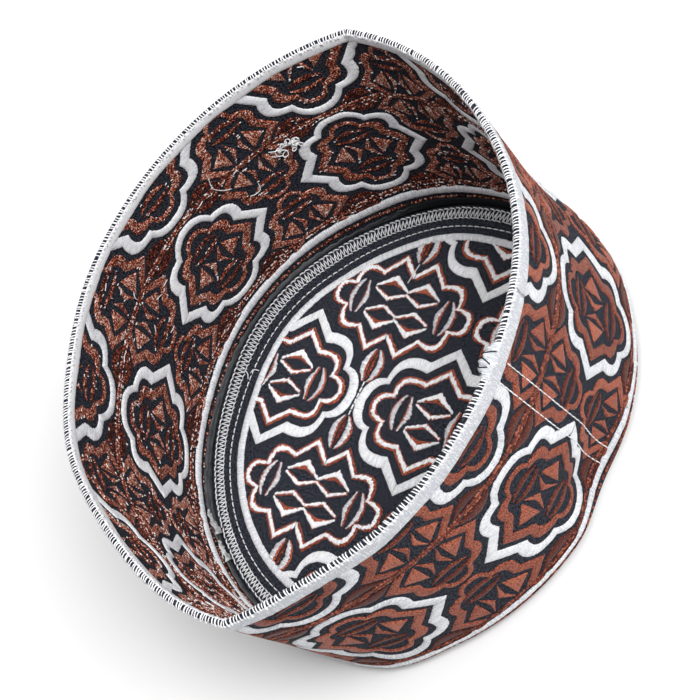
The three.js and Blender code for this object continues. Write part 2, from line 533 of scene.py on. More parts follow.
def wall_medallion():
    """A white medallion with its rust band, two eyes and a star."""
    white = ribbon(
        [(28.4, 0), None, (20.6, 8.8), (19.4, 16.6), (10.8, 19.9), (6.5, 25.0), (0, 26.6)],
        [(22.6, 0), None, (15.4, 8.5), (15.2, 14.7), (9.2, 16.5), (5.8, 21.4), (0, 23.0)],
        colour="white", rise=WHITE_RISE,
    )
    band = ribbon(
        [(20.4, 0), None, (13.7, 8.0), (13.2, 13.4), (6.4, 15.5), (4.3, 19.3), (0, 20.6)],
        [(15.2, 0), None, (9.9, 6.4), (9.2, 11.0), (5.0, 13.4), (3.4, 17.1), (0, 18.3)],
    )
    # The star and chevrons are painted a little lighter than the band: painted sheen, for the light their
    # stitch direction catches
    star = ribbon([(12.6, 0), None, (6.0, 6.6)], [(12.6, 0), None, (5.9, -5.9)], tone=0.1)
    chevron = ribbon(
        [(4.9, 6.6), None, (0.2, 0.2), None, (4.9, -6.1)],
        [(4.9, 6.6), None, (3.1, 0.2), None, (4.9, -6.1)], tone=0.05,
    )
    return [loop(white), loop(band), *side_ways(star), *side_ways(chevron), *wall_eyes(10.1)]


def wall_eyes(height):
    """Two crescents over and two under, with a lens of bare cloth between each pair."""
    # The crescents are painted darker than the band: painted shade, for their stitch direction catches less
    # light
    upper = ribbon(*crescent(7.2, (0.9, 4.0), (0.7, 1.4)), tone=-0.35)
    lower = ribbon(*crescent(7.2, (-0.9, -3.9), (-0.7, -1.3)), tone=-0.3)
    return up_and_down(all_placed([upper, lower], 0, height))


def wall_figure():
    """The rust figure between the medallions, the same above and below its dotted line."""
    outer = [(12.0, 1.7), None, (19.0, 7.3), None, (12.7, 14.2), (12.3, 20.4), (5.9, 22.9),
             (4.3, 26.6), (0, 28.0)]
    inner = [(7.6, 1.7), None, (13.5, 7.4), None, (8.9, 13.1), (8.6, 18.2), (4.5, 20.9),
             (3.0, 24.7), (0, 25.8)]
    # The star and chevrons are painted a little lighter than the band: painted sheen, for the light their
    # stitch direction catches
    star = ribbon([(11.8, 7.6), None, (5.2, 14.0)], [(11.8, 7.6), None, (5.2, 1.9)], tone=0.1)
    chevron = ribbon(
        [(3.7, 14.2), None, (0.4, 7.8), None, (4.1, 1.9)],
        [(3.7, 14.2), None, (2.9, 7.9), None, (4.1, 1.9)], tone=0.05,
    )
    pieces = up_and_down([arch(ribbon(outer, inner)), *side_ways(star), *side_ways(chevron)])
    return pieces + wall_eyes(18.4)


def wall_leaf():
    # The leaf's crescents are painted darker: painted shade, for their stitch direction catches less light
    upper = ribbon([(-7.6, 1.7), (0, 6.6), (7.6, 1.7)], [(-7.4, 1.5), (0, 1.9), (7.4, 1.5)], tone=-0.5)
    return up_and_down([upper])


LEAF_PLACE = 21.7
DOT_STEP = 1.35
DOT_LEFT_OUT = 0.1
DOT_WIDE = 0.55
DOT_HALF = 0.66
DOT_ENDS = 0.6
DOT_RISE = 0.4
DOT_ROW_OFF = 0.8
STRIP_HALF = 1.1
STRIP_RISE = 0.2
STRIP_STEP = 1.0
STRIP_TONE = -0.35


def dots(height, size=1.0):
    """Short bars in a row round the wall, a few of them left out."""
    count = round(GIRTH / DOT_STEP)
    step = GIRTH / count
    pieces = []
    for k in range(count):
        if rng.random() < DOT_LEFT_OUT:
            continue
        lean = rng.uniform(-0.35, 0.35)
        half = size * DOT_HALF * rng.uniform(0.7, 1.15)
        outer, inner = [
            np.array([(-DOT_WIDE + way * lean, way * half * DOT_ENDS), (way * lean, way * half),
                      (DOT_WIDE + way * lean, way * half * DOT_ENDS)])
            for way in (1, -1)
        ]
        bar = Ribbon(outer, inner, False, "rust", rng.uniform(-0.35, 0.3), DOT_RISE)
        pieces.append(placed(bar, k * step + rng.uniform(-0.25, 0.25), height + rng.uniform(-0.2, 0.2)))
    return pieces


def wall_ribbons():
    """Every figure of the wall's chart above the white foot line."""
    pieces = []
    step = GIRTH / COLUMNS
    medallion = wall_medallion()
    leaves = [placed(p, side, 0) for side in (-LEAF_PLACE, LEAF_PLACE) for p in wall_leaf()]
    figure = all_placed(wall_figure() + leaves, step / 2, 0)
    for column in range(COLUMNS):
        place = FIRST_COLUMN + column * step
        for row, group in ((0, medallion), (2, medallion), (1, figure), (-1, figure)):
            pieces += all_placed(group, place, MEDALLION_HEIGHT + row * ROW_STEP)
    for height in DOT_ROWS:
        pieces += dots(height + DOT_ROW_OFF) + dots(height - DOT_ROW_OFF)
        edges = (height - STRIP_HALF, height + STRIP_HALF)
        pieces.append(ring_ribbon(*edges, "rust", STRIP_RISE, STRIP_STEP, STRIP_TONE))
    return pieces


# The crown's inner lines sit a little high in their medallions, and the white thread of each line
# sits a little low on its rust one.
INNER_SHIFT = 0.6
LINE_SHIFT = 0.2
RUST_MARGIN = 0.22
LINE_RISE = RISE - 0.1
WHITE_OVER_RUST = 0.2
# The crown's eyes and leaves are greyer: painted shade on satin that lies in shadow
PETAL_PAINTED_SHADE = -0.45


def lined(outer, inner, low=0.25, high=0.77, tone=0.0):
    """A rust ribbon with a white one on it, from a low to a high share of the way across."""
    rust = ribbon(outer, inner, rise=LINE_RISE, step=FINE_STEP)
    span = rust.inner - rust.outer
    margin = RUST_MARGIN * span / np.maximum(np.linalg.norm(span, axis=1, keepdims=True), 0.01)
    rust = rust._replace(outer=rust.outer - margin, inner=rust.inner + margin)
    span = rust.inner - rust.outer
    white = Ribbon(
        rust.outer + span * low, rust.outer + span * high, False, "lined", tone, LINE_RISE + WHITE_OVER_RUST
    )
    return [placed(rust, 0, LINE_SHIFT), placed(white, 0, -LINE_SHIFT)]


def edged(outer, inner):
    """A white ribbon, greyer by painted shade, with the edge of a rust one under it."""
    return lined(outer, inner, 0.14, 0.84, PETAL_PAINTED_SHADE)


def petals(height, half):
    """Two thick and two thin crescents that stand side by side."""
    thick = ribbon(upright(half, 6.4, 12.8), upright(half, 6.2, 7.6), rise=LINE_RISE, step=FINE_STEP)
    thick_line = ribbon(
        upright(half + 0.6, 6.6, 12.2), upright(half + 0.6, 5.7, 9.4), "lined",
        rise=LINE_RISE + WHITE_OVER_RUST, step=FINE_STEP,
    )
    thin = lined(upright(half + 0.4, 4.5, 0.8), upright(half + 0.2, 5.6, 2.8), 0.12, 0.76)
    pieces = [side for p in [thick, thick_line, *thin] for side in side_ways(p)]
    return all_placed(pieces, 0, height)


def crown_medallion():
    """The crown's large white medallion, with a thin lined band, two eyes and four petals."""
    white = ribbon(
        [(31.0, 0), None, (22.6, 9.6), (20.9, 20.6), (11.3, 25.0), (8.0, 31.4), (0, 33.7)],
        [(26.2, 0), None, (17.4, 9.3), (16.7, 19.3), (9.1, 22.6), (6.5, 27.3), (0, 29.3)],
        colour="white", rise=WHITE_RISE,
    )
    outer = [(22.4, 0), None, (14.7, 8.6), (13.7, 18.0), (6.4, 20.2), (4.7, 25.3), (0, 27.2)]
    inner = [(18.2, 0), None, (11.7, 7.7), (11.0, 16.3), (4.6, 17.6), (3.0, 22.5), (0, 24.1)]
    lines = [loop(p) for p in lined(outer, inner)]
    lines += petals(0.0, 7.6) + up_and_down(crown_eye(12.3))
    return [loop(white)] + all_placed(lines, 0, INNER_SHIFT)


def crown_eye(height):
    far = edged(*crescent(7.4, (1.5, 4.9), (1.0, 2.5)))
    near = edged(
        [(7.2, -1.4), None, (4.4, -2.2), (2.6, -3.3), (0, -4.1)],
        [(7.2, -0.8), None, (4.4, -1.2), (2.6, -1.4), (0, -1.5)],
    )
    return all_placed(far + [arch(p) for p in near], 0, height)


def crown_figure():
    """The crown's lined figure, the same above and below its middle line."""
    outer = [(15.4, 0.5), None, (22.0, 7.3), None, (13.4, 15.2), (13.9, 23.7), (5.8, 26.4),
             (4.7, 31.7), (0, 33.4)]
    inner = [(11.4, 0.5), None, (17.8, 7.5), None, (10.6, 14.2), (10.8, 21.9), (4.2, 23.8),
             (2.9, 29.1), (0, 30.6)]
    pieces = [p for line in lined(outer, inner) for p in up_and_down([arch(line)])]
    pieces += [p for y in (7.6, -7.6) for p in petals(y, 7.2)]
    pieces += up_and_down(crown_eye(20.5))
    return all_placed(pieces, 0, INNER_SHIFT)


def crown_leaf():
    upper = edged(*crescent(7.0, (1.3, 5.1), (0.8, 1.8)))
    lower = edged(*crescent(7.0, (-1.2, -4.8), (-0.7, -1.6)))
    lens = ribbon(*crescent(5.6, (0.3, 0.8), (0.0, -0.6)), tone=-0.2)
    return all_placed([*upper, *lower, lens], 0, 0.3)


CROWN_LEAF_PLACE = 26.3
STEM_START = CROWN_LEAF_PLACE + 7.0
STEM_PARTS = 6
STEM_STITCH = 0.8
STEM_RISE = 0.3


def crown_stem():
    """A thin dashed line of white stitches along the middle line, between two figures' leaves."""
    pieces = []
    part = (CROWN_STEP_X - 2 * STEM_START) / STEM_PARTS
    for k in range(STEM_PARTS):
        low = STEM_START + k * part
        high = low + part * STEM_STITCH
        rails = [[(low, y), None, (high, y)] for y in (0.7, 0.1)]
        pieces.append(ribbon(*rails, "lined", rise=STEM_RISE))
    return pieces


def crown_ribbons():
    """The crown's chart, as far as it reaches inside the white ring."""
    leaves = [placed(p, side, 0) for side in (-CROWN_LEAF_PLACE, CROWN_LEAF_PLACE) for p in crown_leaf()]
    figure = crown_figure() + leaves + crown_stem()
    medallion = crown_medallion()
    pieces = []
    for row in range(-4, 5):
        group, first = (medallion, CROWN_MEDALLION_X) if row % 2 else (figure, CROWN_FIGURE_X)
        for column in range(-3, 4):
            pieces += all_placed(group, first + column * CROWN_STEP_X, row * CROWN_STEP_Y)
    return pieces


def runs_inside(piece, keep):
    """The stretches of a ribbon whose sections are kept."""
    if keep.all():
        return [piece]
    if piece.closed:
        first = int(np.argmin(keep))
        keep = np.roll(keep, -first)
        piece = changed(piece, lambda rail: np.roll(rail, -first, axis=0))
    edges = np.flatnonzero(np.diff(np.concatenate([[0], keep.astype(int), [0]])))
    runs = []
    for start, end in zip(edges[::2], edges[1::2]):
        run = slice(max(start - 1, 0), end + 1)
        runs.append(changed(piece, lambda rail: rail[run])._replace(closed=False))
    return [run for run in runs if len(run.outer) > 1]


def wall_part(pieces, pulls, top):
    """The ribbons of the wall's chart that show between the foot line and a top height."""
    kept = []
    for piece in pieces:
        x, y = middle_line(piece).T
        kept += runs_inside(piece, (y > FOOT_LINE_MIDDLE) & (pull(pulls, x, y)[1] < top))
    return kept


SLIVER = 0.945


def crown_share(piece):
    return ring_share(*from_crown_chart(*middle_line(piece).T))


def crown_part(pieces):
    """The crown's ribbons inside the white ring, without slivers that only peep out of it."""
    runs = [run for piece in pieces for run in runs_inside(piece, crown_share(piece) < 1)]
    return [run for run in runs if crown_share(run).min() < SLIVER]


# Meshes

SECTION = [
    # share of the way across, share of the rise
    (0.00, -1.0),
    (0.10, 0.55),
    (0.32, 1.0),
    (0.68, 1.0),
    (0.90, 0.55),
    (1.00, -1.0),
]
SMALL_SECTION = [(0.0, -1.0), (0.25, 1.0), (0.75, 1.0), (1.0, -1.0)]
LINE_SECTION = [(0.0, -1.0), (0.06, 0.7), (0.5, 1.0), (0.94, 0.7), (1.0, -1.0)]
ROUND_SECTION = [(0.0, -1.0), *[(share / 14, 1.0) for share in range(1, 14)], (1.0, -1.0)]

# A slanting direction that few threads follow, from which a thread's section is turned
ASLANT = np.array([0.31, 0.23, 0.92])


def on_grid(along, across):
    """Texture places in rows and columns."""
    return np.stack(np.broadcast_arrays(along, across), -1)


class Builder:
    """Collects points, faces, texture places and tones for one mesh."""

    def __init__(self):
        self.points = []
        self.faces = []
        self.places = []
        self.tones = []
        self.count = 0

    def add_grid(self, grid, places, tone=0.0, ring=True, round_section=True):
        """A grid of points: rows run along, in a ring or capped, and columns run round the section."""
        rows, columns = grid.shape[:2]
        index = np.arange(rows * columns).reshape(rows, columns) + self.count
        ahead = np.roll(index, -1, axis=0)
        quads = np.stack([index, ahead, np.roll(ahead, -1, axis=1), np.roll(index, -1, axis=1)], -1)
        quads = quads[: rows if ring else -1, : columns if round_section else -1]
        self.faces += quads.reshape(-1, 4).tolist()
        if not ring:
            self.faces += [index[0].tolist(), index[-1][::-1].tolist()]
        self.points.append(grid.reshape(-1, 3))
        self.places.append(places.reshape(-1, 2))
        self.tones.append(np.broadcast_to(tone, (rows, columns)).ravel())
        self.count += rows * columns

    def make(self, name, flip):
        mesh = bpy.data.meshes.new(name)
        points = np.concatenate(self.points) * MM
        faces = [face[::-1] for face in self.faces] if flip else self.faces
        mesh.from_pydata(points.tolist(), [], faces)
        places = np.concatenate(self.places)
        corner = np.empty(len(mesh.loops), np.int32)
        mesh.loops.foreach_get("vertex_index", corner)
        layer = mesh.uv_layers.new(name="threads")
        layer.data.foreach_set("uv", places[corner].astype(np.float32).ravel())
        tone = mesh.attributes.new("tone", "FLOAT", "POINT")
        tone.data.foreach_set("value", np.concatenate(self.tones).astype(np.float32))
        mesh.polygons.foreach_set("use_smooth", [True] * len(mesh.polygons))
        mesh.update()
        return in_scene(name, mesh)

    def piece(self, name, material, slot, *nodes, flip=False):
        """The mesh as a piece of the cap, which takes the place of the CAD nodes that are named."""
        thing = self.make(name, flip)
        thing.data.materials.append(material)
        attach(thing, "root")
        if nodes:
            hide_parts(*nodes)
        return thing


def in_scene(name, data):
    thing = bpy.data.objects.new(name, data)
    bpy.context.scene.collection.objects.link(thing)
    return thing


def lay(builder, pieces, face, jitter, section):
    """Raises each ribbon over the cloth that the face function places it on."""
    share, height = np.array(section).T
    for piece in pieces:
        outer, inner = piece.outer, piece.inner
        span = inner - outer
        width = np.linalg.norm(span, axis=1)
        unit = span / np.maximum(width, 1e-6)[:, None]
        ragged = np.clip(rng.normal(0, jitter, (len(width), 2)), -MOST_RAGGED, MOST_RAGGED)
        ragged *= np.clip(width / RAGGED_WIDTH, 0, 1)[:, None]
        outer = outer + unit * ragged[:, :1]
        inner = inner + unit * ragged[:, 1:]
        flat = outer[:, None] + (inner - outer)[:, None] * share[None, :, None]
        rise = np.minimum(piece.rise, LEAST_RISE + RISE_BY_WIDTH * width)
        rise = rise * rng.uniform(0.9, 1.08, len(width))
        out = np.where(height > 0, height[None, :] * rise[:, None], -SINK)
        grid = face(flat[..., 0], flat[..., 1], out)
        along = distances((outer + inner) / 2) + rng.uniform(0, 50)
        tone = piece.tone + rng.uniform(-0.1, 0.1)
        builder.add_grid(grid, on_grid(along[:, None], share * width[:, None]), tone, ring=piece.closed)


def tube(builder, path, radius, sides=5, tone=0.0, closed=False):
    """A round thread along a path of points."""
    if closed:
        along = np.roll(path, -1, axis=0) - np.roll(path, 1, axis=0)
    else:
        along = np.gradient(path, axis=0)
    along /= np.maximum(np.linalg.norm(along, axis=1, keepdims=True), 1e-9)
    side = np.cross(along, ASLANT)
    side /= np.maximum(np.linalg.norm(side, axis=1, keepdims=True), 1e-9)
    up = np.cross(side, along)
    angle = np.linspace(0, 2 * np.pi, sides, endpoint=False)
    ring = side[:, None] * np.cos(angle)[None, :, None] + up[:, None] * np.sin(angle)[None, :, None]
    places = on_grid(distances(path)[:, None], angle * radius)
    builder.add_grid(path[:, None] + ring * radius, places, tone, ring=closed)


# Materials: the threads map holds places on the cloth in millimetres, and the tone of a point makes
# its thread lighter or darker. Tones differ a little at random, and many are painted light and shade:
# painted sheen and shade on figures by the way their stitches lie, and painted light and shade on the
# rim binding, the crown's eyes and leaves and the seam allowance

WAVE_LENGTH = 0.314  # of a wave texture at scale 1
SPECULAR = 0.12
CLOTH_SPECULAR = 0.1
TONE_SHARE = 0.28
STREAKED_TONE_SHARE = 0.3


class Look:
    """A material in the making: its methods add nodes and give their outputs."""

    def __init__(self, name, roughness, **inputs):
        self.material = bpy.data.materials.new(name)
        self.material.use_nodes = True
        self.tree = self.material.node_tree
        self.tree.nodes.clear()
        self.shader = self.add("BsdfPrincipled", Roughness=roughness, **inputs)
        self.add("OutputMaterial", Surface=self.shader.outputs["BSDF"])

    def put(self, socket, value):
        """Links another node's output to a socket, or gives the socket a plain value."""
        if isinstance(value, bpy.types.NodeSocket):
            self.tree.links.new(value, socket)
        else:
            socket.default_value = value

    def add(self, kind, settings=None, **inputs):
        node = self.tree.nodes.new("ShaderNode" + kind)
        for key, value in (settings or {}).items():
            setattr(node, key, value)
        for key, value in inputs.items():
            self.put(node.inputs[key.replace("_", " ")], value)
        return node

    def threads(self, along=1.0, across=1.0):
        """Places on the cloth, scaled along the threads and across them."""
        uv = self.add("UVMap", {"uv_map": "threads"}).outputs["UV"]
        return self.add("Mapping", Vector=uv, Scale=(along, across, 1.0)).outputs["Vector"]

    def tone(self):
        return self.add("Attribute", {"attribute_name": "tone"}).outputs["Fac"]

    def noise(self, along, across, detail, roughness=0.5):
        place = self.threads(along, across)
        node = self.add("TexNoise", Vector=place, Scale=1.0, Detail=detail, Roughness=roughness)
        return node.outputs["Fac"]

    def ridges(self, direction, spacing, wander):
        """Waves at a spacing in millimetres, which wander a little."""
        node = self.add(
            "TexWave", {"wave_type": "BANDS", "bands_direction": direction}, Vector=self.threads(),
            Scale=WAVE_LENGTH / spacing, Distortion=wander, Detail=2.0,
        )
        return node.outputs["Fac"]

    def mix(self, share, first, second):
        node = self.add("Mix", {"data_type": "FLOAT"}, Factor=share, A=first, B=second)
        return node.outputs["Result"]

    def plus(self, total, value, share):
        """A total with a share of a value added."""
        node = self.add("Math", {"operation": "MULTIPLY_ADD"})
        for socket, part in zip(node.inputs, (value, share, total)):
            self.put(socket, part)
        return node.outputs["Value"]

    def colour(self, factor, *stops):
        """The surface's colour, by stops of a place and a colour along a factor."""
        node = self.add("ValToRGB", Fac=factor)
        elements = node.color_ramp.elements
        while len(elements) < len(stops):
            elements.new(0.5)
        for element, (place, colour) in zip(elements, stops):
            element.position = place
            element.color = (*colour, 1.0)
        self.put(self.shader.inputs["Base Color"], node.outputs["Color"])

    def bump(self, height, strength, distance):
        node = self.add("Bump", Height=height, Strength=strength, Distance=distance)
        self.put(self.shader.inputs["Normal"], node.outputs["Normal"])


def satin_material(
    name, *shades, speckle=0.0, spread=0.15, thread=0.5, relief=1.0, depth=0.00022, sheen=0.0
):
    """Threads laid side by side, in a dark, a middle and a light shade: ridges, streaks and grain."""
    look = Look(name, 0.5, Specular_IOR_Level=SPECULAR, Sheen_Weight=sheen)
    streaks = look.noise(1.6, 0.25, 3.0, 0.65)
    grain = look.noise(2.4, 1.8, 1.0)
    shade = look.plus(look.mix(0.3 + 0.5 * speckle, streaks, grain), look.tone(), TONE_SHARE)
    look.colour(shade, *zip((0.5 - spread, 0.5, 0.5 + spread), shades))
    height = look.mix(0.35 + 0.4 * speckle, look.ridges("X", thread, 1.2), grain)
    look.bump(height, relief, depth)
    return look.material


def white_satin(name, *shades):
    return satin_material(name, *shades, speckle=0.3, spread=0.08, depth=0.0003)


def backing_material(name, *stops):
    """The back of the stitches: small knots of thread, painted bright at their middles, each with painted
    shade in the dark space round it, and painted glints on the lightest.
    """
    look = Look(name, 0.5, Specular_IOR_Level=SPECULAR)
    knots = look.add(
        "TexVoronoi", {"feature": "F1"}, Vector=look.threads(2.5, 1.9), Scale=1.0, Randomness=0.9
    )
    gap_and_shade = knots.outputs["Distance"]
    knot_tone_and_glint = look.add("SeparateColor", Color=knots.outputs["Color"]).outputs["Red"]
    patches = look.noise(0.6, 0.6, 3.0)
    shade = 0.63
    # Painted shade darkens the space round each knot; the knot's random value lifts some knots to painted
    # glints
    for value, share in ((gap_and_shade, -1.0), (knot_tone_and_glint, 0.65), (patches, 0.35), (look.tone(), 0.6)):
        shade = look.plus(shade, value, share)
    look.colour(shade, *stops)
    look.bump(look.plus(0.0, gap_and_shade, -1.0), 1.0, 0.0004)
    return look.material


def cloth_material(name, dark, light):
    """Twill: fine slanting ribs under an uneven grain, with a little lint."""
    look = Look(name, 0.9, Specular_IOR_Level=CLOTH_SPECULAR)
    height = look.mix(0.86, look.ridges("DIAGONAL", 0.45, 1.5), look.noise(1.25, 1.25, 3.0, 0.7))
    look.colour(height, (0.46, dark), (0.56, light))
    look.bump(height, 0.6, 0.0002)
    return look.material


def streaked_material(name, dark, light):
    """Frayed cloth seen at its edge: soft streaks that run along the seam."""
    look = Look(name, 0.9, Specular_IOR_Level=CLOTH_SPECULAR)
    height = look.mix(0.35, look.noise(0.16, 1.1, 3.0, 0.6), look.noise(2.6, 2.6, 2.0))
    look.colour(look.plus(height, look.tone(), STREAKED_TONE_SHARE), (0.38, dark), (0.62, light))
    look.bump(height, 0.7, 0.0004)
    return look.material


def floor_material():
    look = Look("pale_floor", 0.7, Emission_Strength=0.07, Emission_Color=(1.0, 1.0, 1.0, 1.0))
    place = look.add("TexCoord").outputs["Object"]
    patches = look.add("TexNoise", Vector=place, Scale=6.0, Detail=2.0).outputs["Fac"]
    look.colour(patches, (0.3, (0.75, 0.75, 0.755)), (0.7, (0.77, 0.77, 0.77)))
    return look.material


RUST_OUTSIDE = satin_material(
    "rust_satin", (0.055, 0.010, 0.006), (0.215, 0.044, 0.022), (0.46, 0.140, 0.078), speckle=0.75,
    spread=0.10, sheen=0.03,
)
RUST_CROWN = satin_material(
    "rust_line_satin", (0.03, 0.005, 0.004), (0.24, 0.040, 0.018), (0.56, 0.150, 0.072), speckle=0.9,
    spread=0.08,
)
# The lightest stops give the backing's painted glints, and the darkest gives the painted shade round its
# knots
RUST_INSIDE = backing_material(
    "rust_backing", (0.28, (0.012, 0.003, 0.003)), (0.50, (0.12, 0.022, 0.012)),
    (0.70, (0.37, 0.072, 0.034)), (0.90, (0.74, 0.24, 0.13)), (1.0, (0.92, 0.75, 0.66)),
)
# One white satin thread in three copies: the crown's plain one; a darker one for the outer wall, the rim
# binding and its lump, as painted shade against their stronger light; and a lighter one for the inner wall,
# as painted light in its shade
WHITE_SATIN = white_satin("white_satin", (0.62, 0.64, 0.69), (0.86, 0.87, 0.89), (0.97, 0.97, 0.98))
WHITE_PAINTED_DARKER = white_satin(
    "white_satin_outside", (0.52, 0.54, 0.58), (0.74, 0.75, 0.78), (0.88, 0.88, 0.90)
)
WHITE_PAINTED_LIGHTER = white_satin(
    "white_satin_inside", (0.62, 0.64, 0.70), (0.90, 0.91, 0.94), (0.98, 0.98, 0.99)
)
# Its darkest shade is reached mostly in the painted shade of the crown's eyes and leaves
WHITE_THREAD = satin_material(
    "white_thread", (0.46, 0.46, 0.49), (0.88, 0.88, 0.90), (0.96, 0.96, 0.96), thread=0.4, relief=0.6
)
NAVY_CLOTH = cloth_material("navy_twill", (0.001, 0.001, 0.002), (0.046, 0.051, 0.068))
NAVY_THREAD = cloth_material("navy_gaps", (0.006, 0.007, 0.012), (0.040, 0.045, 0.058))
GREY_CLOTH = streaked_material("grey_lining_cloth", (0.012, 0.014, 0.016), (0.115, 0.122, 0.130))
PALE_CLOTH = streaked_material("pale_lining_cloth", (0.26, 0.27, 0.28), (0.62, 0.62, 0.62))


# Pieces


def shell(builder, length, z, depth, tone=0.0):
    """A closed ring of cloth, by the heights and depths of its section along the wall."""
    grid = cloth_point(around_at(length)[:, None], z, depth)
    run = distances(np.stack([z[0], depth[0]], -1))
    builder.add_grid(grid, on_grid(length[:, None], run), tone)


WALL_STEP = 2.0
WALL_UP = 30
CLOSER_AT_FOOT = 1.25
WALL_UNDER_FOOT = 0.2
WALL_IN_RIM = 0.4


def wall_cloth():
    rows = np.linspace(0, 1, WALL_UP) ** CLOSER_AT_FOOT
    up = WALL_FOOT - WALL_UNDER_FOOT + rows * (RIM_BACK_Z + WALL_IN_RIM - WALL_FOOT)
    z = np.concatenate([up, up[::-1]])
    depth = np.repeat([0.0, WALL_CLOTH], WALL_UP)
    builder = Builder()
    shell(builder, even_lengths(WALL_STEP), z[None], depth[None])
    return builder.piece("wall_cloth", NAVY_CLOTH, "navy_cloth", "side_wall")


# The crown's cloth: distances in from its edge, with their lift over the flat middle
CROWN_PROFILE = [
    # inset, lift
    (0.35, -0.25), (1.0, 0.0), (2.2, 0.0), (4.0, 0.05), (8.0, 0.05), (12.0, 0.0), (16.0, 0.0), (20.0, 0.0),
]
CROWN_SHARES = (0.85, 0.68, 0.5, 0.33, 0.16)
CROWN_STEP = 3.0


def crown_cloth():
    """A flat oval cloth: rings from the middle of its upper face over the edge to the lower one."""
    length = even_lengths(CROWN_STEP)
    rings = [crown_edge(around_at(length), inset) for inset, lift in CROWN_PROFILE]
    rings += [rings[-1] * share for share in CROWN_SHARES]
    lifts = [lift for inset, lift in CROWN_PROFILE] + [0.0] * len(CROWN_SHARES)
    upper = [(ring, CROWN_TOP + lift) for ring, lift in zip(rings, lifts)]
    lower = [(ring, CROWN_UNDERSIDE) for ring in rings]
    grid = np.stack([np.insert(ring, 2, height, axis=1) for ring, height in upper[::-1] + lower], 1)
    builder = Builder()
    builder.add_grid(grid, grid[..., :2], round_section=False)
    index = np.arange(len(length)) * grid.shape[1]
    builder.faces += [index[::-1].tolist(), (index + grid.shape[1] - 1).tolist()]
    return builder.piece("crown_cloth", NAVY_CLOTH, "navy_cloth", "crown")


ALLOWANCE_PLACES = [
    # distance along the wall, height of the frayed edge as a share of the CAD height, painted shade (darker
    # where the allowance lies in shadow, lighter where it is lit)
    (0, 0.5, -0.3), (60, 0.5, -0.4), (105, 0.7, -0.8), (142, 0.7, -0.8), (165, 0.4, -0.2), (200, 0.28, 0.2),
    (240, 0.32, 0.2), (270, 0.45, 0.1), (300, 0.75, 0.1), (335, 0.8, 0.1), (365, 0.7, 0.2), (400, 0.5, 0.0),
    (460, 0.4, -0.2), (520, 0.5, -0.3),
]
ALLOWANCE_OVER_FOOT = 0.1
ALLOWANCE_CLOTH = 0.55
ALLOWANCE_STEP = 1.6
ALLOWANCE_ROWS = np.array([0, 0.35, 0.7, 1.0])


def allowance_height(length):
    share = table_value(ALLOWANCE_PLACES, length)
    ragged = 0.05 * np.sin(length * 0.9) + 0.04 * np.sin(length * 2.3 + 1)
    return WALL_FOOT + (ALLOWANCE_TOP - WALL_FOOT) * np.clip(share + ragged, 0.15, 1)


def allowance_cloth():
    length = even_lengths(ALLOWANCE_STEP)
    top = allowance_height(length)[:, None]
    foot = WALL_FOOT + ALLOWANCE_OVER_FOOT
    lean = 0.35 * np.sin(length * 0.11)[:, None] * ALLOWANCE_ROWS + 0.5 * ALLOWANCE_ROWS
    up = foot + ALLOWANCE_ROWS * (top - foot)
    z = np.concatenate([up, up[:, ::-1]], 1)
    depth = ALLOWANCE_DEPTH + np.concatenate([lean, ALLOWANCE_CLOTH + lean[:, ::-1]], 1)
    # Painted light and shade along the wall, from the table's last column
    shade = table_value(ALLOWANCE_PLACES, length, 2)
    builder = Builder()
    shell(builder, length, z, depth, shade[:, None])
    return builder.piece("allowance_cloth", GREY_CLOTH, "grey_cloth", "seam_allowance")


# Two frayed ends of pale cloth that stick out of the seam: matching points of their two edges
PALE_ENDS = [
    [
        [(334.6, 10.9), None, (338.8, 5.8), None, (343.0, 2.6)],
        [(335.2, 11.2), None, (340.6, 9.9), None, (345.6, 8.0)],
    ],
    [
        [(349.2, 9.0), None, (353.0, 6.2), None, (356.5, 3.2)],
        [(349.8, 9.8), None, (354.6, 9.2), None, (360.0, 9.2)],
    ],
]
PALE_END_OFF = 2.2
PALE_END_RISE = 0.6
PALE_END_RAGGED = 0.25


def off_wall(length, z, out):
    """A crumpled face that stands off the inner wall."""
    crumple = 0.35 * np.sin(length * 1.7 + z) + 0.3 * np.sin(z * 2.1 - length)
    return wall_inside(length, z, PALE_END_OFF + crumple + out)


def pale_ends():
    builder = Builder()
    strips = [ribbon(*edges, rise=PALE_END_RISE) for edges in PALE_ENDS]
    lay(builder, strips, off_wall, PALE_END_RAGGED, SECTION)
    return builder.piece("pale_ends", PALE_CLOTH, "grey_cloth")


def embroidery(name, groups, material, slot, jitter=EVEN):
    """One mesh of ribbons: each group is a list of ribbons, the face they lie on, their section."""
    builder = Builder()
    for pieces, face, section in groups:
        lay(builder, pieces, face, jitter, section)
    return builder.piece(name, material, slot)


def of_colour(pieces, colour):
    return [p for p in pieces if p.colour == colour]


